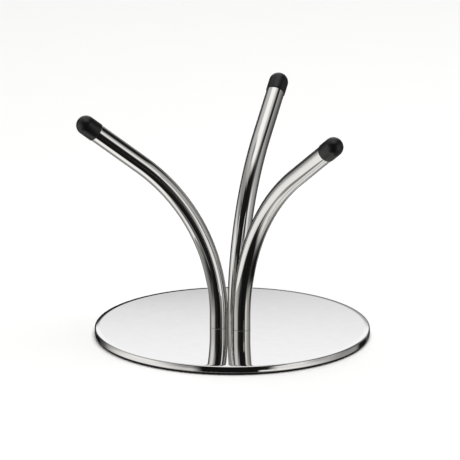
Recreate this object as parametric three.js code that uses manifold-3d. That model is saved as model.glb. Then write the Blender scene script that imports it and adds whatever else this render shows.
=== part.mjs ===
// A mug tree: three bent, polished steel tubes that rise from the middle of a heavy round steel plate.
// Mugs hang on the tubes by their handles. A black cap closes the end of each tube, and a thin rubber
// disc under the plate protects the table.
//
// Millimetres, +Z up. The origin is the centre of the rubber's underside, where the object rests.
// The rear arm leans towards +Y, the left and right arms towards -X and +X, 120 degrees apart.

import * as THREE from "three";
import { mergeVertices } from "three/addons/utils/BufferGeometryUtils.js";
import Module from "manifold-3d";

const wasm = await Module();
wasm.setup();

// ---------------------------------------------------------------- driving dimensions

const DEGREE = Math.PI / 180;
const FIT_GAP = 0.3; // air round a round piece inside a round hole
const SEAT_GAP = 0.05; // air under the shoulder of a cap

// Base
const BASE_RADIUS = 90;
const BASE_THICKNESS = 4.5;
const BASE_TOP_ROUND = 1; // radius of the polished top edge
const BASE_BOTTOM_CHAMFER = 0.4;
const RUBBER_THICKNESS = 1.5;
const RUBBER_RADIUS = 88.8; // it stays a little back from the plate's rim
const ACCESS_RADIUS = 6.5; // holes in the rubber, so that a key reaches the screws

// Arms
const ARMS = [
  { side: "rear", azimuth: 90 * DEGREE },
  { side: "left", azimuth: 210 * DEGREE },
  { side: "right", azimuth: 330 * DEGREE },
];
const FOOT_CIRCLE_RADIUS = 9; // the three feet stand on this circle
const TUBE_RADIUS = 6;
const TUBE_WALL = 1;
const FOOT_LENGTH = 7; // straight and upright, below the bend
const BEND_RADIUS = 134;
const BEND_ANGLE = 52 * DEGREE;
const TIP_LENGTH = 37; // straight, from the bend to the tube's end

// End caps
const CAP_RADIUS = 6.4;
const CAP_SKIRT = 8.7; // the cap's cylindrical length outside the tube
const SPIGOT_LENGTH = 14;
const SPIGOT_RADIUS = 3.9; // between the ribs
const SPIGOT_CHAMFER = 0.8;
const RIB_COUNT = 3;
const RIB_PITCH = 4;
const RIB_RISE = 1.6; // each rib slopes up towards the head and drops off behind
const RIB_LAND = 0.5;
const RIB_DROP = 0.3;
const CORE_RADIUS = 2.4; // the hollow that opens at the spigot's end
const CORE_DEPTH = 18;

// Foot inserts and M5 countersunk screws
const INSERT_LENGTH = 10.5;
const INSERT_CHAMFER = 0.5;
const TAPPED_RADIUS = 2.5;
const TAPPED_DEPTH = 8.5;
const SCREW_LENGTH = 12; // over all, as countersunk screws are measured
const SCREW_SHANK_RADIUS = 2.2;
const SCREW_HEAD_RADIUS = 4.9;
const SCREW_HEAD_EDGE = 0.3; // the short cylinder at the head's rim
const SCREW_POINT_CHAMFER = 0.6;
const SCREW_RECESS = 0.3; // the head sits this far above the plate's underside
const HEX_ACROSS_FLATS = 3;
const HEX_DEPTH = 1.9;
const COUNTERSINK_RADIUS = 5.6;
const CLEARANCE_RADIUS = 2.75;

// Fineness of the facets
const BASE_SEGMENTS = 96;
const TURNED_SEGMENTS = 24;
const TUBE_BORE_SEGMENTS = 16;
const TUBE_STEPS = 24;
const ROUND_SEGMENTS = 3;
const DOME_SEGMENTS = 6;

const CUT_PAST = 1; // a cutter runs this far past the faces it cuts

// What follows from these
const PLATE_BOTTOM = RUBBER_THICKNESS;
const PLATE_TOP = PLATE_BOTTOM + BASE_THICKNESS;
const BORE_RADIUS = TUBE_RADIUS - TUBE_WALL;

// ---------------------------------------------------------------- materials

function metal(color, roughness) {
  return new THREE.MeshStandardMaterial({ color, roughness, metalness: 1 });
}

function plastic(color, roughness) {
  return new THREE.MeshStandardMaterial({ color, roughness, metalness: 0 });
}

const polishedSteel = metal(0xd6d5d2, 0.06);
const turnedSteel = metal(0x9c9a96, 0.35);
const blackenedSteel = metal(0x2b2b2d, 0.4);
const blackPlastic = plastic(0x141414, 0.38);
const blackRubber = plastic(0x1b1b1c, 0.9);

// ---------------------------------------------------------------- solids

// A turned piece from points of [radius, height]: from the axis at the bottom, or at the end of a
// hollow that opens there, round the outside to the axis at the top. The faces then point outwards.
function turned(points, segments = TURNED_SEGMENTS) {
  const profile = points.map(([radius, height]) => new THREE.Vector2(radius, height));
  return new THREE.LatheGeometry(profile, segments).rotateX(Math.PI / 2);
}

// Points along an arc about [r, z], from one angle to another.
function arc(r, z, radius, from, to, segments) {
  return Array.from({ length: segments + 1 }, (_, i) => {
    const angle = from + ((to - from) * i) / segments;
    return [r + radius * Math.cos(angle), z + radius * Math.sin(angle)];
  });
}

function toSolid(geometry) {
  const bare = geometry.clone();
  bare.deleteAttribute("normal");
  bare.deleteAttribute("uv");
  const merged = mergeVertices(bare, 1e-4);
  return new wasm.Manifold(
    new wasm.Mesh({
      numProp: 3,
      vertProperties: new Float32Array(merged.attributes.position.array),
      triVerts: new Uint32Array(merged.index.array),
    }),
  );
}

function toGeometry(solid) {
  const mesh = solid.getMesh();
  const geometry = new THREE.BufferGeometry();
  geometry.setAttribute("position", new THREE.BufferAttribute(mesh.vertProperties, 3));
  geometry.setIndex(new THREE.BufferAttribute(mesh.triVerts, 1));
  geometry.computeVertexNormals();
  return geometry;
}

function subtract(body, cutters) {
  const solid = cutters.reduce((left, cutter) => left.subtract(toSolid(cutter)), toSolid(body));
  return toGeometry(solid);
}

function footPosition({ azimuth }) {
  return [FOOT_CIRCLE_RADIUS * Math.cos(azimuth), FOOT_CIRCLE_RADIUS * Math.sin(azimuth)];
}

// The same cutter under each of the three feet.
function underEachFoot(makeCutter) {
  return ARMS.map((arm) => makeCutter().translate(...footPosition(arm), 0));
}

// ---------------------------------------------------------------- base

// A clearance hole for the screw, with a countersink for its head in the underside.
function screwHole() {
  const coneHeight = COUNTERSINK_RADIUS - CLEARANCE_RADIUS;
  return turned([
    [0, -CUT_PAST],
    [COUNTERSINK_RADIUS, -CUT_PAST],
    [COUNTERSINK_RADIUS, SCREW_RECESS],
    [CLEARANCE_RADIUS, SCREW_RECESS + coneHeight],
    [CLEARANCE_RADIUS, BASE_THICKNESS + CUT_PAST],
    [0, BASE_THICKNESS + CUT_PAST],
  ]);
}

function basePlate() {
  const edge = BASE_RADIUS - BASE_TOP_ROUND;
  const shoulder = BASE_THICKNESS - BASE_TOP_ROUND;
  const disc = turned(
    [
      [0, 0],
      [BASE_RADIUS - BASE_BOTTOM_CHAMFER, 0],
      [BASE_RADIUS, BASE_BOTTOM_CHAMFER],
      ...arc(edge, shoulder, BASE_TOP_ROUND, 0, Math.PI / 2, ROUND_SEGMENTS),
      [0, BASE_THICKNESS],
    ],
    BASE_SEGMENTS,
  );
  return subtract(disc, underEachFoot(screwHole));
}

function roundDisc(radius, from, to, segments) {
  return turned([[0, from], [radius, from], [radius, to], [0, to]], segments);
}

function antiSlipDisc() {
  const disc = roundDisc(RUBBER_RADIUS, 0, RUBBER_THICKNESS, BASE_SEGMENTS);
  const accessHole = () => roundDisc(ACCESS_RADIUS, -CUT_PAST, RUBBER_THICKNESS + CUT_PAST);
  return subtract(disc, underEachFoot(accessHole));
}

// ---------------------------------------------------------------- arms

// The middle line of a bent tube: upright, then an arc that leans outwards along +X, then straight.
class ArmLine extends THREE.Curve {
  getPoint(t, target = new THREE.Vector3()) {
    const bend = BEND_RADIUS * BEND_ANGLE;
    const along = t * (FOOT_LENGTH + bend + TIP_LENGTH);
    const angle = THREE.MathUtils.clamp((along - FOOT_LENGTH) / BEND_RADIUS, 0, BEND_ANGLE);
    const upright = Math.min(along, FOOT_LENGTH);
    const tip = Math.max(0, along - FOOT_LENGTH - bend);
    return target.set(
      BEND_RADIUS * (1 - Math.cos(angle)) + tip * Math.sin(BEND_ANGLE),
      0,
      upright + BEND_RADIUS * Math.sin(angle) + tip * Math.cos(BEND_ANGLE),
    );
  }
}

function circlePoints(radius, segments) {
  return Array.from({ length: segments }, (_, i) => {
    const angle = (i / segments) * 2 * Math.PI;
    return new THREE.Vector2(radius * Math.cos(angle), radius * Math.sin(angle));
  });
}

function armTube() {
  const section = new THREE.Shape(circlePoints(TUBE_RADIUS, TURNED_SEGMENTS));
  section.holes.push(new THREE.Path(circlePoints(BORE_RADIUS, TUBE_BORE_SEGMENTS)));
  return new THREE.ExtrudeGeometry(section, { extrudePath: new ArmLine(), steps: TUBE_STEPS });
}

// One rib of the spigot, whose slope starts at the given height.
function spigotRib(start) {
  const land = start + RIB_RISE;
  return [
    [SPIGOT_RADIUS, start],
    [BORE_RADIUS - FIT_GAP, land],
    [BORE_RADIUS - FIT_GAP, land + RIB_LAND],
    [SPIGOT_RADIUS, land + RIB_LAND + RIB_DROP],
  ];
}

// A cap with a domed head a little wider than the tube, and a ribbed hollow spigot that grips
// the bore. Its origin is the middle of the tube's end, and +Z points out of the tube.
function endCap() {
  const spigotEnd = -SPIGOT_LENGTH;
  const firstRib = spigotEnd + SPIGOT_CHAMFER;
  const ribs = Array.from({ length: RIB_COUNT }, (_, i) => spigotRib(firstRib + i * RIB_PITCH));
  const dome = arc(0, CAP_SKIRT, CAP_RADIUS, 0, Math.PI / 2, DOME_SEGMENTS);
  return turned([
    [0, spigotEnd + CORE_DEPTH],
    [CORE_RADIUS, spigotEnd + CORE_DEPTH],
    [CORE_RADIUS, spigotEnd],
    [SPIGOT_RADIUS - SPIGOT_CHAMFER, spigotEnd],
    ...ribs.flat(),
    [SPIGOT_RADIUS, SEAT_GAP],
    [CAP_RADIUS, SEAT_GAP],
    ...dome.slice(0, -1),
    [0, CAP_SKIRT + CAP_RADIUS],
  ]);
}

// A plug that fills the foot of the tube, tapped from below for the screw.
function footInsert() {
  const radius = BORE_RADIUS - FIT_GAP;
  return turned([
    [0, TAPPED_DEPTH],
    [TAPPED_RADIUS, TAPPED_DEPTH],
    [TAPPED_RADIUS, 0],
    [radius - INSERT_CHAMFER, 0],
    [radius, INSERT_CHAMFER],
    [radius, INSERT_LENGTH - INSERT_CHAMFER],
    [radius - INSERT_CHAMFER, INSERT_LENGTH],
    [0, INSERT_LENGTH],
  ]);
}

// A countersunk screw with a hex socket, head down. Its origin is the middle of the head's face.
function footScrew() {
  const coneHeight = SCREW_HEAD_RADIUS - SCREW_SHANK_RADIUS;
  const body = turned([
    [0, 0],
    [SCREW_HEAD_RADIUS, 0],
    [SCREW_HEAD_RADIUS, SCREW_HEAD_EDGE],
    [SCREW_SHANK_RADIUS, SCREW_HEAD_EDGE + coneHeight],
    [SCREW_SHANK_RADIUS, SCREW_LENGTH - SCREW_POINT_CHAMFER],
    [SCREW_SHANK_RADIUS - SCREW_POINT_CHAMFER, SCREW_LENGTH],
    [0, SCREW_LENGTH],
  ]);
  const cornerRadius = HEX_ACROSS_FLATS / Math.sqrt(3);
  const socket = new THREE.CylinderGeometry(cornerRadius, cornerRadius, 2 * HEX_DEPTH, 6);
  return subtract(body, [socket.rotateX(Math.PI / 2)]);
}

// ---------------------------------------------------------------- assembly

function node(name, geometry, material) {
  const mesh = new THREE.Mesh(geometry, material);
  mesh.name = name;
  return mesh;
}

// One arm with everything that belongs to it, in a group that is turned to the arm's azimuth.
function arm({ side, azimuth }) {
  const stem = new THREE.Group();
  stem.position.set(FOOT_CIRCLE_RADIUS, 0, PLATE_TOP);
  stem.add(node(`${side}_arm_tube`, armTube(), polishedSteel));
  stem.add(node(`${side}_foot_insert`, footInsert(), turnedSteel));

  const cap = node(`${side}_end_cap`, endCap(), blackPlastic);
  cap.position.copy(new ArmLine().getPoint(1));
  cap.rotation.y = BEND_ANGLE;
  stem.add(cap);

  const screw = node(`${side}_foot_screw`, footScrew(), blackenedSteel);
  screw.position.set(FOOT_CIRCLE_RADIUS, 0, PLATE_BOTTOM + SCREW_RECESS);

  const group = new THREE.Group();
  group.rotation.z = azimuth;
  group.add(stem, screw);
  return group;
}

const mugTree = new THREE.Group();
const plate = node("base_plate", basePlate(), polishedSteel);
plate.position.z = PLATE_BOTTOM;
mugTree.add(plate, node("anti_slip_disc", antiSlipDisc(), blackRubber));
mugTree.add(...ARMS.map(arm));

export default mugTree;
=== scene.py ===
import math

import bmesh
import bpy
from mathutils import Matrix, Vector
from mathutils.geometry import tessellate_polygon


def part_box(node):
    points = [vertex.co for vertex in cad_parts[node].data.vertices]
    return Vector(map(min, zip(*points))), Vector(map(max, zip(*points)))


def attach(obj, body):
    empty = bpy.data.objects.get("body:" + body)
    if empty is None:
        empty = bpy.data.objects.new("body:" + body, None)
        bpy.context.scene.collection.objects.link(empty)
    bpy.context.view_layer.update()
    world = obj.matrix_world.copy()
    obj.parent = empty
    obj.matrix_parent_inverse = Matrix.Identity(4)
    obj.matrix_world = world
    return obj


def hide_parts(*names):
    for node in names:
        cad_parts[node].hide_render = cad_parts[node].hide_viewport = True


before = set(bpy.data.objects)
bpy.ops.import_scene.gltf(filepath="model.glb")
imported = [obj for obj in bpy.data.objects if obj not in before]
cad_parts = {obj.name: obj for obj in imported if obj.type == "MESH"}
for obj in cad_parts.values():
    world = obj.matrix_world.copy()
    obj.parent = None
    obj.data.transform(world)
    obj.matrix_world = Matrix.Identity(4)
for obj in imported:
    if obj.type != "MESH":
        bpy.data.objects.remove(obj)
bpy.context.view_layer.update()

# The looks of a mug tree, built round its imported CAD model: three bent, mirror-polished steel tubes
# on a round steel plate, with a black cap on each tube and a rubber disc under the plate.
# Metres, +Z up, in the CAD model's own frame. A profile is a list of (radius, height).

MM = 0.001
IDENTITY = Matrix.Identity(4)
scene = bpy.context.scene

# ---------------------------------------------------------------- driving dimensions

# The bent tubes, as in the CAD model
TUBE_RADIUS = 6 * MM
TUBE_WALL = 1 * MM
TUBE_RIM_ROUND = 0.2 * MM
FOOT_LENGTH = 7 * MM
BEND_RADIUS = 134 * MM
BEND_ANGLE = math.radians(52)
TIP_LENGTH = 37 * MM
ARM_AZIMUTHS = {"rear": math.radians(90), "left": math.radians(210), "right": math.radians(330)}

# The plate and the rubber disc
PLATE_TOP_ROUND = 1 * MM
BUFFED_WIDTH = 2.6 * MM  # buffing rolls the top face off this far in from the rounded edge
BUFFED_DROP = 0.1 * MM
BUFFED_STEPS = 10
PLATE_BOTTOM_CHAMFER = 0.4 * MM
PLATE_CHAMFER_ROUNDS = (0.05 * MM, 0.15 * MM)  # below and above the chamfer
COUNTERSINK_RADIUS = 5.6 * MM
CLEARANCE_RADIUS = 2.75 * MM
ACCESS_RADIUS = 6.5 * MM
SCREW_RECESS = 0.3 * MM
HOLE_ROUNDS = (0.1 * MM, 0.08 * MM)  # at the countersink's small and large ends
RUBBER_ROUNDS = (0.35 * MM, 0.2 * MM)  # at the disc's bottom and top edges
ACCESS_ROUNDS = (0.3 * MM, 0.2 * MM)  # at its holes' bottom and top edges
ACCESS_LIPS = (0.6 * MM, 0.4 * MM)  # the width of the flat faces modelled beside those edges

# The caps
CAP_RADIUS = 6.4 * MM
CAP_SKIRT = 8.7 * MM
CAP_SEAT_GAP = 0.05 * MM
CAP_SEAT_ROUND = 0.45 * MM
SPIGOT_ROOT_ROUND = 0.15 * MM
SPIGOT_RADIUS = 3.9 * MM
SPIGOT_LENGTH = 14 * MM
SPIGOT_LEAD = 0.8 * MM
SPIGOT_ROUND = 0.2 * MM
CORE_RADIUS = 2.4 * MM
CORE_DEPTH = 18 * MM
CORE_ROUND = 0.5 * MM
RIB_RADIUS = 4.7 * MM
RIB_COUNT = 3
RIB_PITCH = 4 * MM
RIB_RISE = 1.6 * MM
RIB_LAND = 0.5 * MM
RIB_DROP = 0.3 * MM
RIB_ROUND = 0.12 * MM
RIB_START_ROUND = 0.3 * MM

# The M5 thread, with rounded crests and roots, and 0.1 mm between screw and insert
THREAD_PITCH = 0.8 * MM
THREAD_HEIGHT = 0.42 * MM
SCREW_THREAD_RADIUS = 2.22 * MM
TAPPED_THREAD_RADIUS = 2.32 * MM
TAPPED_DEPTH = 8.5 * MM
THREAD_MARGIN = 0.5 * MM  # how far a thread stays from the end of its piece
THREAD_STEPS = 10  # rings in one pitch

# The inserts
DRILL_POINT = 0.9 * MM
MOUTH_RADIUS = 2.9 * MM
MOUTH_CHAMFER = (0.3 * MM, 0.2 * MM)  # across and up
MOUTH_ROUND = 0.05 * MM
INSERT_ROUND = 0.4 * MM

# The screws
SCREW_SHANK_RADIUS = 2.2 * MM
SCREW_HEAD_EDGE = 0.3 * MM
SCREW_ROUNDS = (0.15 * MM, 0.05 * MM, 0.1 * MM)  # below and above the head's edge, and under its cone
SCREW_NECK = 0.3 * MM
SCREW_TIP_RADIUS = 1.7 * MM
HEX_ACROSS_FLATS = 3 * MM
HEX_DEPTH = 1.9 * MM
HEX_POINT = 0.4 * MM
HEX_CHAMFER = 0.12 * MM
HEX_RING_RADIUS = 2.2 * MM  # a ring on the head's flat face, outside the hex socket

# Fineness
DISC_SIDES = 256
TUBE_SIDES = 96
SMALL_SIDES = 48
BEND_STEPS = 96
CORNER_STEPS = 5
PLATE_ROUND_STEPS = 12
DOME_STEPS = 24
SUPPORT = 0.15 * MM  # a ring this far inside a polished edge keeps the face beside it flat
MERGE_DISTANCE = 1e-8
SHARP_ANGLE = math.radians(32)

plate_low, plate_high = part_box("base_plate")
rubber_low, rubber_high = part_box("anti_slip_disc")
insert_low, insert_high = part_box("rear_foot_insert")
screw_low, screw_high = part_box("rear_foot_screw")
foot_circle_radius = (insert_low.y + insert_high.y) / 2
bore_radius = TUBE_RADIUS - TUBE_WALL

# ---------------------------------------------------------------- camera

CAMERA_AZIMUTH = math.radians(18.3)
CAMERA_ELEVATION = math.radians(16.89)
CAMERA_DISTANCE = 4.0
CAMERA_AIM = Vector((-1.59 * MM, 0, 71.1 * MM))  # to the camera's right, away from it, up
CAMERA_ROLL = math.radians(0.09)
LENS_MM = 478.6
SENSOR_MM = 36


def make_camera():
    turn = Matrix.Rotation(CAMERA_AZIMUTH, 3, "Z")
    back = Vector((0, -math.cos(CAMERA_ELEVATION), math.sin(CAMERA_ELEVATION)))
    place = turn @ (back * CAMERA_DISTANCE) + Vector((0, 0, plate_high.z))
    look = turn @ CAMERA_AIM - place
    data = bpy.data.cameras.new("photo_camera")
    data.lens = LENS_MM
    data.sensor_width = SENSOR_MM
    camera = bpy.data.objects.new("photo_camera", data)
    scene.collection.objects.link(camera)
    rotation = look.to_track_quat("-Z", "Y").to_matrix() @ Matrix.Rotation(CAMERA_ROLL, 3, "Z")
    camera.matrix_world = Matrix.LocRotScale(place, rotation, None)
    scene.camera = camera


make_camera()

# ---------------------------------------------------------------- node trees


class Tree:
    """A short way to write a node tree."""

    def __init__(self, tree):
        self.tree = tree
        tree.nodes.clear()

    def make(self, kind, inputs=None, **settings):
        made = self.tree.nodes.new("ShaderNode" + kind)
        for name, value in settings.items():
            setattr(made, name, value)
        for name, value in (inputs or {}).items():
            if isinstance(value, bpy.types.NodeSocket):
                self.tree.links.new(value, made.inputs[name])
            else:
                made.inputs[name].default_value = value
        return made

    def math(self, operation, *values):
        return self.make("Math", dict(enumerate(values)), operation=operation).outputs[0]

    def vector(self, operation, a, b):
        return self.make("VectorMath", {0: a, 1: b}, operation=operation).outputs[0]

    def smooth(self, value, low, high):
        """0 at low and 1 at high, with a soft step between."""
        inputs = {"Value": value, "From Min": low, "From Max": high}
        return self.make("MapRange", inputs, interpolation_type="SMOOTHSTEP").outputs[0]

    def linear(self, value, low, high, to_low, to_high):
        inputs = {"Value": value, "From Min": low, "From Max": high, "To Min": to_low, "To Max": to_high}
        return self.make("MapRange", inputs).outputs[0]

    def noise(self, vector, scale, detail=2.0, roughness=0.5):
        inputs = {"Vector": vector, "Scale": scale, "Detail": detail, "Roughness": roughness}
        return self.make("TexNoise", inputs).outputs[0]

    def mix(self, factor, a, b):
        return self.make("Mix", {0: factor, 2: a, 3: b}, data_type="FLOAT").outputs[0]

    def mix_color(self, factor, a, b):
        return self.make("Mix", {0: factor, 6: a, 7: b}, data_type="RGBA").outputs[2]


def grey(value, tint=(1, 1, 1)):
    return (value * tint[0], value * tint[1], value * tint[2], 1)


# ---------------------------------------------------------------- studio
# The metal mirrors a studio: a white ceiling, a softbox on each side and a white wall behind, with
# the dark room round the camera between them. Azimuths are in degrees from the camera's own side of
# the object, towards the right of the view, and elevations are in degrees above the horizon.

STUDIO_BASE = 0.31
# name: azimuth, its half width and its soft edge; elevation, half height and soft edge; brightness
STUDIO_PANELS = {
    "floor_glow": (-45, 52, 40, -70, 17, 12, 1.1),
    "under_shade": (180, 80, 30, -86, 17, 6, 0.03),
    "ceiling_left": (-112, 34, 34, 46, 16, 24, 0.6),
    "ceiling": (0, 181, 1, 90, 27, 14, 1.15),
    "ceiling_left_dim": (-76, 18, 16, 63, 8, 8, 0.3),
    "ceiling_right_dim": (92, 38, 30, 66, 8, 8, 0.7),
    "ceiling_front": (-50, 24, 20, 55, 7, 8, 0.5),
    "back_wall": (180, 26, 16, 34, 20, 10, 0.5),
    "back_glow": (180, 26, 14, 34, 17.5, 1.6, 1.14),
    "right_grey_far": (114, 24, 26, 5, 24, 12, 0.2),
    "right_grey_near": (76, 25, 28, 6, 28, 12, 0.45),
    "right_upper_shade": (88, 54, 24, 44, 9, 12, 0.05),
    "right_back_shade": (126, 22, 20, 31, 10, 12, 0.02),
    "right_end_shade": (100, 22, 22, 38.5, 6, 3, 0.01),
    "left_upper_shade": (-84, 24, 22, 33, 8, 12, 0.3),
    "left_near_shade": (-66, 10, 10, 30, 6, 6, 0.08),
    "left_box": (-81, 26, 38, -20, 38, 12, 1.0),
    "left_box_end": (-42, 12, 8, -38, 14, 8, 0.12),
    "right_box": (50, 17, 20, 3, 24, 9, 0.95),
    "back_shade": (180, 28, 16, -8, 20, 8, 0.04),
    "back_shade_left": (-169, 11.2, 2.5, 8, 8.3, 1, 0.02),
    "rear_shade_left": (-141, 13, 14, 0, 21, 14, 0.05),
    "rear_shade_right": (128, 10, 16, -4, 8, 10, 0.08),
    "table_left": (-84, 34, 50, -17, 1.6, 1.5, 0.95),
    "table_right": (76, 51, 10, -17, 1.6, 1.5, 0.33),
    "table_right_glow": (20, 58, 60, -17, 1.6, 1.5, 1.0),
    "table_end_left": (-154, 9, 8, -17, 4, 4, 0.01),
    "table_end_right": (142, 11, 8, -17, 4, 4, 0.01),
    "camera_shade": (2, 32, 12, 16, 43, 8, 0.008),
    "camera_shade_low": (4, 29, 12, -38, 14, 8, 0.008),
    "camera_shade_left": (-34, 22, 14, 39, 13, 8, 0.012),
    "camera_shade_left_low": (-30, 17, 16, 20, 7, 6, 0.02),
    "camera_shade_right": (26, 20, 12, 24, 31, 6, 0.012),
    "table_right_edge": (29, 6.5, 4, -17, 0.8, 0.5, 0.95),
    "room_lamp": (31, 8, 5, 14.3, 2.4, 1.6, 0.35),
    "back_lamp": (162, 4, 3, 4, 1.4, 0.8, 0.5),
}
WARM_TINT = (1.0, 0.995, 0.98)
BACK_TINT = (0.972, 0.975, 1.0)
BACK_TINT_EDGE = (145, 160)  # degrees away from the camera's side
BACKDROP = 0.42  # what the camera itself sees above the floor
CAMERA_SIDE = -math.degrees(CAMERA_AZIMUTH)


def make_world():
    world = bpy.data.worlds.new("studio")
    scene.world = world
    world.use_nodes = True
    tree = Tree(world.node_tree)
    direction = tree.make("TexCoord").outputs["Generated"]
    axes = tree.make("SeparateXYZ", {0: direction}).outputs
    to_degrees = 180 / math.pi
    angle = tree.math("ARCTAN2", axes[0], tree.math("MULTIPLY", axes[1], -1.0))
    azimuth = tree.math("MULTIPLY", angle, to_degrees)
    elevation = tree.math("MULTIPLY", tree.math("ARCSINE", axes[2]), to_degrees)

    def aside_of(az):
        turned_back = tree.math("ADD", azimuth, CAMERA_SIDE - az)
        return tree.math("ABSOLUTE", tree.math("WRAP", turned_back, 180.0, -180.0))

    light = STUDIO_BASE
    for az, half_width, az_edge, el, half_height, el_edge, level in STUDIO_PANELS.values():
        above = tree.math("ABSOLUTE", tree.math("SUBTRACT", elevation, float(el)))
        across = tree.smooth(aside_of(az), half_width + az_edge / 2, half_width - az_edge / 2)
        upright = tree.smooth(above, half_height + el_edge / 2, half_height - el_edge / 2)
        light = tree.mix(tree.math("MULTIPLY", across, upright), light, level)
    is_camera = tree.make("LightPath").outputs["Is Camera Ray"]
    light = tree.mix(is_camera, light, BACKDROP)
    behind = tree.smooth(aside_of(0), *BACK_TINT_EDGE)
    cool = tree.math("MULTIPLY", behind, tree.math("SUBTRACT", 1.0, is_camera))
    tint = tree.mix_color(cool, grey(1, WARM_TINT), grey(1, BACK_TINT))
    background = tree.make("Background", {"Color": tint, "Strength": light})
    tree.make("OutputWorld", {"Surface": background.outputs[0]})


LAMP_PLACE = Vector((0.3, 0.1, 2.6))
LAMP_SIZE = 2.4
LAMP_POWER = 61


def make_lamp():
    data = bpy.data.lights.new("overhead_lamp", "AREA")
    data.shape = "DISK"
    data.size = LAMP_SIZE
    data.energy = LAMP_POWER
    lamp = bpy.data.objects.new("overhead_lamp", data)
    scene.collection.objects.link(lamp)
    aim = (-LAMP_PLACE).to_track_quat("-Z", "Y")
    lamp.matrix_world = Matrix.LocRotScale(LAMP_PLACE, aim, None)
    lamp.visible_glossy = False  # the metal mirrors the studio, and not the lamp's own disc
    lamp.visible_camera = False


FLOOR_RADIUS = 14
FLOOR_COLOR = (0.86, 0.86, 0.855, 1)
FLOOR_SHADE = 0.985
FLOOR_PATCHES = 30.0  # a noise's scale, per metre


def make_floor():
    mesh = bpy.data.meshes.new("floor")
    shape = bmesh.new()
    bmesh.ops.create_circle(shape, cap_ends=True, segments=DISC_SIDES, radius=FLOOR_RADIUS)
    shape.to_mesh(mesh)
    shape.free()
    floor = bpy.data.objects.new("floor", mesh)
    scene.collection.objects.link(floor)
    floor.location.z = rubber_low.z
    floor.visible_glossy = False
    material = bpy.data.materials.new("floor")
    material.use_nodes = True
    tree = Tree(material.node_tree)
    place = tree.make("TexCoord").outputs["Object"]
    tone = tree.noise(place, FLOOR_PATCHES, 3.0)
    color = tree.mix_color(tone, grey(FLOOR_SHADE, FLOOR_COLOR), grey(1.0, FLOOR_COLOR))
    shader = tree.make("BsdfDiffuse", {"Color": color})
    tree.make("OutputMaterial", {"Surface": shader.outputs[0]})
    mesh.materials.append(material)


make_world()
make_lamp()
make_floor()
scene.view_settings.view_transform = "Standard"

# ---------------------------------------------------------------- materials


def new_material(name):
    material = bpy.data.materials.new(name)
    material.use_nodes = True
    return material, Tree(material.node_tree)


def finish_material(tree, inputs, bump=None):
    if bump is not None:
        height, distance = bump
        inputs["Normal"] = tree.make("Bump", {"Height": height, "Distance": distance}).outputs[0]
    shader = tree.make("BsdfPrincipled", inputs)
    tree.make("OutputMaterial", {"Surface": shader.outputs[0]})


def surface_lines(tree, around, along):
    """Seamless coordinates on a turned or swept piece, stretched to give fine lines."""
    uv = tree.make("UVMap", uv_map="surface").outputs[0]
    parts = tree.make("SeparateXYZ", {0: uv}).outputs
    angle = tree.math("MULTIPLY", parts[0], 2 * math.pi)
    inputs = {
        0: tree.math("MULTIPLY", tree.math("COSINE", angle), around),
        1: tree.math("MULTIPLY", tree.math("SINE", angle), around),
        2: tree.math("MULTIPLY", parts[1], along),
    }
    return tree.make("CombineXYZ", inputs).outputs[0]


def disc_lines(tree, around, across):
    """Coordinates on the plate that give fine rings round its middle."""
    place = tree.make("TexCoord").outputs["Object"]
    parts = tree.make("SeparateXYZ", {0: place}).outputs
    flat = tree.make("CombineXYZ", {0: parts[0], 1: parts[1]}).outputs[0]
    radius = tree.make("VectorMath", {0: flat}, operation="LENGTH").outputs["Value"]
    direction = tree.make("VectorMath", {0: flat}, operation="NORMALIZE").outputs[0]
    turned = tree.make("SeparateXYZ", {0: tree.vector("MULTIPLY", direction, (around,) * 3)}).outputs
    inputs = {0: turned[0], 1: turned[1], 2: tree.math("MULTIPLY", radius, across)}
    return tree.make("CombineXYZ", inputs).outputs[0]


# The noises' scales, per metre
STEEL_PATCHES = 180.0
STEEL_HAZE = 120.0
TURNED_PATCHES = 700.0
BLACK_PATCHES = 260.0

# How fast the lines change along their own run, and how closely they lie beside each other
PLATE_LINES = (4.0, 9000.0)
TUBE_LINES = (1.2, 2500.0)
LATHE_LINES = (0.3, 9000.0)
LATHE_DEPTH = 0.01 * MM

NOISE_RANGE = (0.3, 0.7)  # where nearly all of a noise's values lie
NOISE_SUM_RANGE = (0.7, 1.3)  # and those of two noises added up
HAIRLINE_RANGE = (0.62, 0.75)  # only the noise's highest values make a hairline

STEEL_LIGHT = (0.79, 0.785, 0.77, 1)
STEEL_DARK = (0.775, 0.77, 0.755, 1)
STEEL_ROUGHNESS = (0.02, 0.035)
HAIRLINE_ROUGHNESS = (0.0, 0.04)


def polished_steel(name, line_coordinates):
    """Mirror-polished stainless steel, with the faint haze and hairlines that buffing leaves."""
    material, tree = new_material(name)
    place = tree.make("TexCoord").outputs["Object"]
    patches = tree.smooth(tree.noise(place, STEEL_PATCHES, 4.0), *NOISE_RANGE)
    color = tree.mix_color(patches, STEEL_LIGHT, STEEL_DARK)
    haze = tree.linear(tree.noise(place, STEEL_HAZE, 3.0), *NOISE_RANGE, *STEEL_ROUGHNESS)
    lines = tree.noise(line_coordinates(tree), 1.0, 3.0, 0.7)
    hairline = tree.linear(lines, *HAIRLINE_RANGE, *HAIRLINE_ROUGHNESS)
    roughness = tree.math("ADD", haze, hairline)
    finish_material(tree, {"Base Color": color, "Metallic": 1.0, "Roughness": roughness})
    return material


def turned_metal(name, light, dark, roughness):
    """Bare metal with the fine rings that a lathe leaves."""
    material, tree = new_material(name)
    rings = tree.noise(surface_lines(tree, *LATHE_LINES), 1.0, 2.0, 0.6)
    place = tree.make("TexCoord").outputs["Object"]
    inputs = {
        "Base Color": tree.mix_color(tree.noise(place, TURNED_PATCHES, 3.0), light, dark),
        "Metallic": 1.0,
        "Roughness": tree.linear(rings, *NOISE_RANGE, *roughness),
    }
    finish_material(tree, inputs, (rings, LATHE_DEPTH))
    return material


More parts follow.
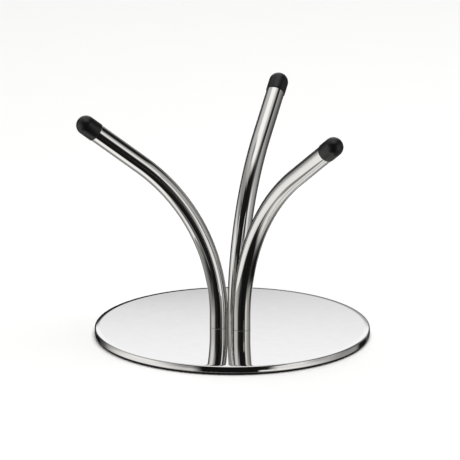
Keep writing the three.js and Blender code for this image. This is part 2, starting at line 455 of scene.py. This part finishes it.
def moulded_black(name, light, dark, roughness, specular, grain_scale, grain_depth):
    """Black plastic or rubber with a fine moulded grain."""
    material, tree = new_material(name)
    place = tree.make("TexCoord").outputs["Object"]
    patches = tree.noise(place, BLACK_PATCHES, 3.0)
    grain = tree.noise(place, grain_scale, 2.0, 0.6)
    inputs = {
        "Base Color": tree.mix_color(tree.smooth(patches, *NOISE_RANGE), light, dark),
        "Roughness": tree.linear(tree.math("ADD", patches, grain), *NOISE_SUM_RANGE, *roughness),
        "Specular IOR Level": specular,
    }
    finish_material(tree, inputs, (grain, grain_depth))
    return material


plate_steel = polished_steel("polished_plate", lambda tree: disc_lines(tree, *PLATE_LINES))
tube_steel = polished_steel("polished_tube", lambda tree: surface_lines(tree, *TUBE_LINES))
insert_steel = turned_metal(
    "turned_steel",
    light=(0.56, 0.55, 0.53, 1),
    dark=(0.46, 0.45, 0.43, 1),
    roughness=(0.25, 0.45),
)
screw_steel = turned_metal(
    "blackened_steel",
    light=(0.05, 0.05, 0.053, 1),
    dark=(0.038, 0.038, 0.04, 1),
    roughness=(0.32, 0.5),
)
cap_plastic = moulded_black(
    "cap_plastic",
    light=(0.007, 0.007, 0.0073, 1),
    dark=(0.0045, 0.0045, 0.0047, 1),
    roughness=(0.27, 0.36),
    specular=0.46,
    grain_scale=2600.0,
    grain_depth=0.01 * MM,
)
rubber = moulded_black(
    "rubber",
    light=(0.024, 0.024, 0.025, 1),
    dark=(0.016, 0.016, 0.0165, 1),
    roughness=(0.78, 0.92),
    specular=0.3,
    grain_scale=1500.0,
    grain_depth=0.05 * MM,
)

# ---------------------------------------------------------------- mesh tools


def circle(radius, height=0.0, place=IDENTITY, sides=SMALL_SIDES):
    """A ring of points round the local Z axis, or the one point on it. A radius may be a function
    of the angle."""
    if radius == 0:
        return [place @ Vector((0, 0, height))]
    at = radius if callable(radius) else lambda angle: radius
    angles = [2 * math.pi * i / sides for i in range(sides)]
    return [place @ Vector((at(a) * math.cos(a), at(a) * math.sin(a), height)) for a in angles]


def softened(corners):
    """A profile whose corners (radius, height, rounding) become short arcs. The ends stay."""
    spots = [Vector(corner[:2]) for corner in corners]
    made = [spots[0]]
    for before, spot, after, corner in zip(spots, spots[1:], spots[2:], corners[1:]):
        rounding = corner[2] if len(corner) > 2 else 0
        if not rounding:
            made.append(spot)
            continue
        back, ahead = (before - spot).normalized(), (after - spot).normalized()
        half = back.angle(ahead) / 2
        centre = spot + (back + ahead).normalized() * rounding / math.sin(half)
        start = spot + back * rounding / math.tan(half) - centre
        end = spot + ahead * rounding / math.tan(half) - centre
        sweep = math.pi - 2 * half
        for i in range(CORNER_STEPS + 1):
            done = sweep * i / CORNER_STEPS
            spoke = start * math.sin(sweep - done) + end * math.sin(done)
            made.append(centre + spoke / math.sin(sweep))
    made.append(spots[-1])
    return [(max(0.0, spot.x), spot.y) for spot in made]


def arc(r, z, radius, start, end, steps):
    """A profile's points along an arc about (r, z). Angles are in degrees from the outward side."""
    angles = [math.radians(start + (end - start) * i / steps) for i in range(steps + 1)]
    return [(r + radius * math.cos(a), z + radius * math.sin(a)) for a in angles]


def skin(shape, rings, closed=False):
    """Adds the surface through a row of rings, with lengths along and round it as UVs. A ring of
    one point is a pole."""
    uv = shape.loops.layers.uv.get("surface") or shape.loops.layers.uv.new("surface")
    rows = [[shape.verts.new(point) for point in ring] for ring in rings]
    pairs = list(zip(rings, rings[1:] + rings[:1]))
    along = [0.0]
    for a, b in pairs:
        along.append(along[-1] + (b[0] - a[0]).length)
    sides = max(len(ring) for ring in rings)
    for i in range(len(rings) if closed else len(rings) - 1):
        k = (i + 1) % len(rings)
        for j in range(sides):
            corners = [(i, j), (i, j + 1), (i + 1, j + 1), (i + 1, j)]
            if len(rings[i]) == 1:
                corners.pop(1)
            if len(rings[k]) == 1:
                corners.pop(-1)
            row = {i: rows[i], i + 1: rows[k]}
            face = shape.faces.new([row[a][b % len(row[a])] for a, b in corners])
            for loop, (a, b) in zip(face.loops, corners):
                loop[uv].uv = (b / sides, along[a])


def to_piece(shape, name, material, node):
    """A finished piece of the object that stands for a CAD node."""
    bmesh.ops.remove_doubles(shape, verts=shape.verts, dist=MERGE_DISTANCE)
    bmesh.ops.recalc_face_normals(shape, faces=shape.faces)
    mesh = bpy.data.meshes.new(name)
    shape.to_mesh(mesh)
    shape.free()
    mesh.materials.append(material)
    mesh.shade_smooth()
    mesh.set_sharp_from_angle(angle=SHARP_ANGLE)
    piece = bpy.data.objects.new(name, mesh)
    scene.collection.objects.link(piece)
    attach(piece, "root")
    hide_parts(node)


def turned(profile, place=IDENTITY, sides=SMALL_SIDES):
    """The rings of a turned piece, from a profile that runs from bottom to top on the outside."""
    return [circle(radius, height, place, sides) for radius, height in profile]


def thread(radius, start, end, place_height):
    """A profile along a screw thread, whose turns fade in and out over one pitch at its ends. The
    heights are local, and place_height is what turns them into the object's own heights."""

    def outline(height, fade):
        phase = (height + place_height) / THREAD_PITCH
        return lambda angle: radius + fade * THREAD_HEIGHT / 2 * math.cos(2 * math.pi * phase - angle)

    count = round(abs(end - start) / THREAD_PITCH * THREAD_STEPS)
    made = []
    for i in range(count + 1):
        turns = min(i, count - i) / THREAD_STEPS
        height = start + (end - start) * i / count
        made.append((outline(height, min(1.0, turns)), height))
    return made


# ---------------------------------------------------------------- plate and rubber disc


def foot_place(azimuth, height):
    turn = Matrix.Rotation(azimuth, 4, "Z")
    return turn @ Matrix.Translation((foot_circle_radius, 0, height))


def drilled_disc(shape, profile, hole_profile):
    """A disc with the same hole under each foot. The profile runs up the rim, and the hole's
    profile runs down the hole."""
    rims = turned(profile, sides=DISC_SIDES)
    skin(shape, rims)
    holes = [turned(hole_profile, foot_place(azimuth, 0)) for azimuth in ARM_AZIMUTHS.values()]
    for hole in holes:
        skin(shape, hole)
    for rim, ends in ((rims[0], [hole[-1] for hole in holes]), (rims[-1], [hole[0] for hole in holes])):
        outlines = [rim, *ends]
        verts = [shape.verts.new(point) for outline in outlines for point in outline]
        for triangle in tessellate_polygon(outlines):
            shape.faces.new([verts[i] for i in triangle])


def base_plate():
    low, high, radius = plate_low.z, plate_high.z, plate_high.x
    edge = radius - PLATE_TOP_ROUND
    slope = math.atan(2 * BUFFED_DROP / BUFFED_WIDTH)
    start = edge + PLATE_TOP_ROUND * math.sin(slope)
    parts = [i / BUFFED_STEPS for i in range(1, BUFFED_STEPS + 1)]
    buffed = [(start - BUFFED_WIDTH * part, high - BUFFED_DROP * (1 - part) ** 2) for part in parts]
    profile = [
        (radius - PLATE_BOTTOM_CHAMFER - SUPPORT, low),
        *softened([
            (radius - PLATE_BOTTOM_CHAMFER - SUPPORT, low),
            (radius - PLATE_BOTTOM_CHAMFER, low, PLATE_CHAMFER_ROUNDS[0]),
            (radius, low + PLATE_BOTTOM_CHAMFER, PLATE_CHAMFER_ROUNDS[1]),
            (radius, low + PLATE_BOTTOM_CHAMFER + SUPPORT),
        ])[1:],
        *arc(edge, high - BUFFED_DROP - PLATE_TOP_ROUND, PLATE_TOP_ROUND,
             0, 90 - math.degrees(slope), PLATE_ROUND_STEPS),
        *buffed,
        (start - BUFFED_WIDTH - SUPPORT, high),
    ]
    cone_height = COUNTERSINK_RADIUS - CLEARANCE_RADIUS
    hole = softened([
        (CLEARANCE_RADIUS, high),
        (CLEARANCE_RADIUS, low + SCREW_RECESS + cone_height, HOLE_ROUNDS[0]),
        (COUNTERSINK_RADIUS, low + SCREW_RECESS, HOLE_ROUNDS[1]),
        (COUNTERSINK_RADIUS, low),
    ])
    shape = bmesh.new()
    drilled_disc(shape, profile, hole)
    to_piece(shape, "plate", plate_steel, "base_plate")


def anti_slip_disc():
    low, high, radius = rubber_low.z, rubber_high.z, rubber_high.x
    profile = softened([
        (radius - 4 * SUPPORT, low),
        (radius, low, RUBBER_ROUNDS[0]),
        (radius, high, RUBBER_ROUNDS[1]),
        (radius - 4 * SUPPORT, high),
    ])
    hole = softened([
        (ACCESS_RADIUS + ACCESS_LIPS[1], high),
        (ACCESS_RADIUS, high, ACCESS_ROUNDS[1]),
        (ACCESS_RADIUS, low, ACCESS_ROUNDS[0]),
        (ACCESS_RADIUS + ACCESS_LIPS[0], low),
    ])
    shape = bmesh.new()
    drilled_disc(shape, profile, hole)
    to_piece(shape, "rubber_disc", rubber, "anti_slip_disc")


# ---------------------------------------------------------------- arms

TUBE_LENGTH = FOOT_LENGTH + BEND_RADIUS * BEND_ANGLE + TIP_LENGTH


def arm_frame(azimuth, along):
    """The tube's own frame at a length along its middle line: +Z runs along the tube, and +X lies
    on the outside of the arm's lean."""
    angle = min(max((along - FOOT_LENGTH) / BEND_RADIUS, 0.0), BEND_ANGLE)
    straight_foot = min(along, FOOT_LENGTH)
    straight_tip = max(0.0, along - FOOT_LENGTH - BEND_RADIUS * BEND_ANGLE)
    out = BEND_RADIUS * (1 - math.cos(angle)) + straight_tip * math.sin(angle)
    up = straight_foot + BEND_RADIUS * math.sin(angle) + straight_tip * math.cos(angle)
    lean = Matrix.Translation((out, 0, up)) @ Matrix.Rotation(angle, 4, "Y")
    return foot_place(azimuth, plate_high.z) @ lean


def arm_tube(side, azimuth):
    rim = TUBE_RIM_ROUND
    bend = BEND_RADIUS * BEND_ANGLE
    stations = [rim, rim + SUPPORT, FOOT_LENGTH / 2]
    stations += [FOOT_LENGTH + bend * i / BEND_STEPS for i in range(BEND_STEPS + 1)]
    stations += [TUBE_LENGTH - TIP_LENGTH / 2, TUBE_LENGTH - rim - SUPPORT, TUBE_LENGTH - rim]
    outside = [(TUBE_RADIUS, along) for along in stations]
    inside = [(bore_radius, along) for along in reversed(stations)]
    tip_out = arc(TUBE_RADIUS - rim, TUBE_LENGTH - rim, rim, 0, 90, CORNER_STEPS)[1:]
    tip_in = arc(bore_radius + rim, TUBE_LENGTH - rim, rim, 90, 180, CORNER_STEPS)[:-1]
    foot_in = arc(bore_radius + rim, rim, rim, 180, 270, CORNER_STEPS)[1:]
    foot_out = arc(TUBE_RADIUS - rim, rim, rim, 270, 360, CORNER_STEPS)[:-1]
    profile = outside + tip_out + tip_in + inside + foot_in + foot_out
    rings = [circle(r, 0, arm_frame(azimuth, along), TUBE_SIDES) for r, along in profile]
    shape = bmesh.new()
    skin(shape, rings, closed=True)
    to_piece(shape, side + "_tube", tube_steel, side + "_arm_tube")


def end_cap(side, azimuth):
    rib_start = -SPIGOT_LENGTH + SPIGOT_LEAD
    ribs = []
    for i in range(RIB_COUNT):
        start = rib_start + i * RIB_PITCH
        land = start + RIB_RISE
        ribs += [
            (SPIGOT_RADIUS, start, RIB_START_ROUND),
            (RIB_RADIUS, land, RIB_ROUND),
            (RIB_RADIUS, land + RIB_LAND, RIB_ROUND),
            (SPIGOT_RADIUS, land + RIB_LAND + RIB_DROP, RIB_ROUND),
        ]
    core_end = CORE_DEPTH - SPIGOT_LENGTH
    profile = softened([
        (0, core_end),
        (CORE_RADIUS, core_end, CORE_ROUND),
        (CORE_RADIUS, -SPIGOT_LENGTH, SPIGOT_ROUND),
        (SPIGOT_RADIUS - SPIGOT_LEAD, -SPIGOT_LENGTH, SPIGOT_ROUND),
        *ribs,
        (SPIGOT_RADIUS, CAP_SEAT_GAP, SPIGOT_ROOT_ROUND),
        (CAP_RADIUS, CAP_SEAT_GAP, CAP_SEAT_ROUND),
        (CAP_RADIUS, CAP_SKIRT),
    ])
    profile += arc(0, CAP_SKIRT, CAP_RADIUS, 0, 90, DOME_STEPS)[1:-1]
    profile += [(0, CAP_SKIRT + CAP_RADIUS)]
    shape = bmesh.new()
    skin(shape, turned(profile, arm_frame(azimuth, TUBE_LENGTH), TUBE_SIDES))
    to_piece(shape, side + "_cap", cap_plastic, side + "_end_cap")


def foot_insert(side, azimuth):
    radius = insert_high.x
    length = insert_high.z - insert_low.z
    profile = [(0, TAPPED_DEPTH + DRILL_POINT)]
    profile += thread(TAPPED_THREAD_RADIUS, TAPPED_DEPTH, THREAD_MARGIN, insert_low.z)
    profile += softened([
        (MOUTH_RADIUS - MOUTH_CHAMFER[0], MOUTH_CHAMFER[1]),
        (MOUTH_RADIUS, 0, MOUTH_ROUND),
        (radius, 0, INSERT_ROUND),
        (radius, length, INSERT_ROUND),
        (0, length),
    ])
    shape = bmesh.new()
    skin(shape, turned(profile, foot_place(azimuth, insert_low.z)))
    to_piece(shape, side + "_insert", insert_steel, side + "_foot_insert")


def hexagon(angle):
    """The radius of the hex socket at an angle."""
    sixth = math.pi / 3
    return HEX_ACROSS_FLATS / 2 / math.cos((angle + sixth / 2) % sixth - sixth / 2)


def foot_screw(side, azimuth):
    radius = screw_high.x
    length = screw_high.z - screw_low.z
    cone_end = SCREW_HEAD_EDGE + radius - SCREW_SHANK_RADIUS
    profile = [
        (0, HEX_DEPTH + HEX_POINT),
        (hexagon, HEX_DEPTH),
        (hexagon, HEX_CHAMFER),
        (lambda angle: hexagon(angle) + HEX_CHAMFER, 0),
    ]
    profile += softened([
        (HEX_RING_RADIUS, 0),
        (radius, 0, SCREW_ROUNDS[0]),
        (radius, SCREW_HEAD_EDGE, SCREW_ROUNDS[1]),
        (SCREW_SHANK_RADIUS, cone_end, SCREW_ROUNDS[2]),
        (SCREW_SHANK_RADIUS, cone_end + SCREW_NECK),
    ])
    thread_start, thread_end = cone_end + THREAD_MARGIN, length - THREAD_MARGIN
    profile += thread(SCREW_THREAD_RADIUS, thread_start, thread_end, screw_low.z)
    profile += [(SCREW_TIP_RADIUS, length), (0, length)]
    shape = bmesh.new()
    skin(shape, turned(profile, foot_place(azimuth, screw_low.z)))
    to_piece(shape, side + "_screw", screw_steel, side + "_foot_screw")


base_plate()
anti_slip_disc()
for side, azimuth in ARM_AZIMUTHS.items():
    arm_tube(side, azimuth)
    end_cap(side, azimuth)
    foot_insert(side, azimuth)
    foot_screw(side, azimuth)
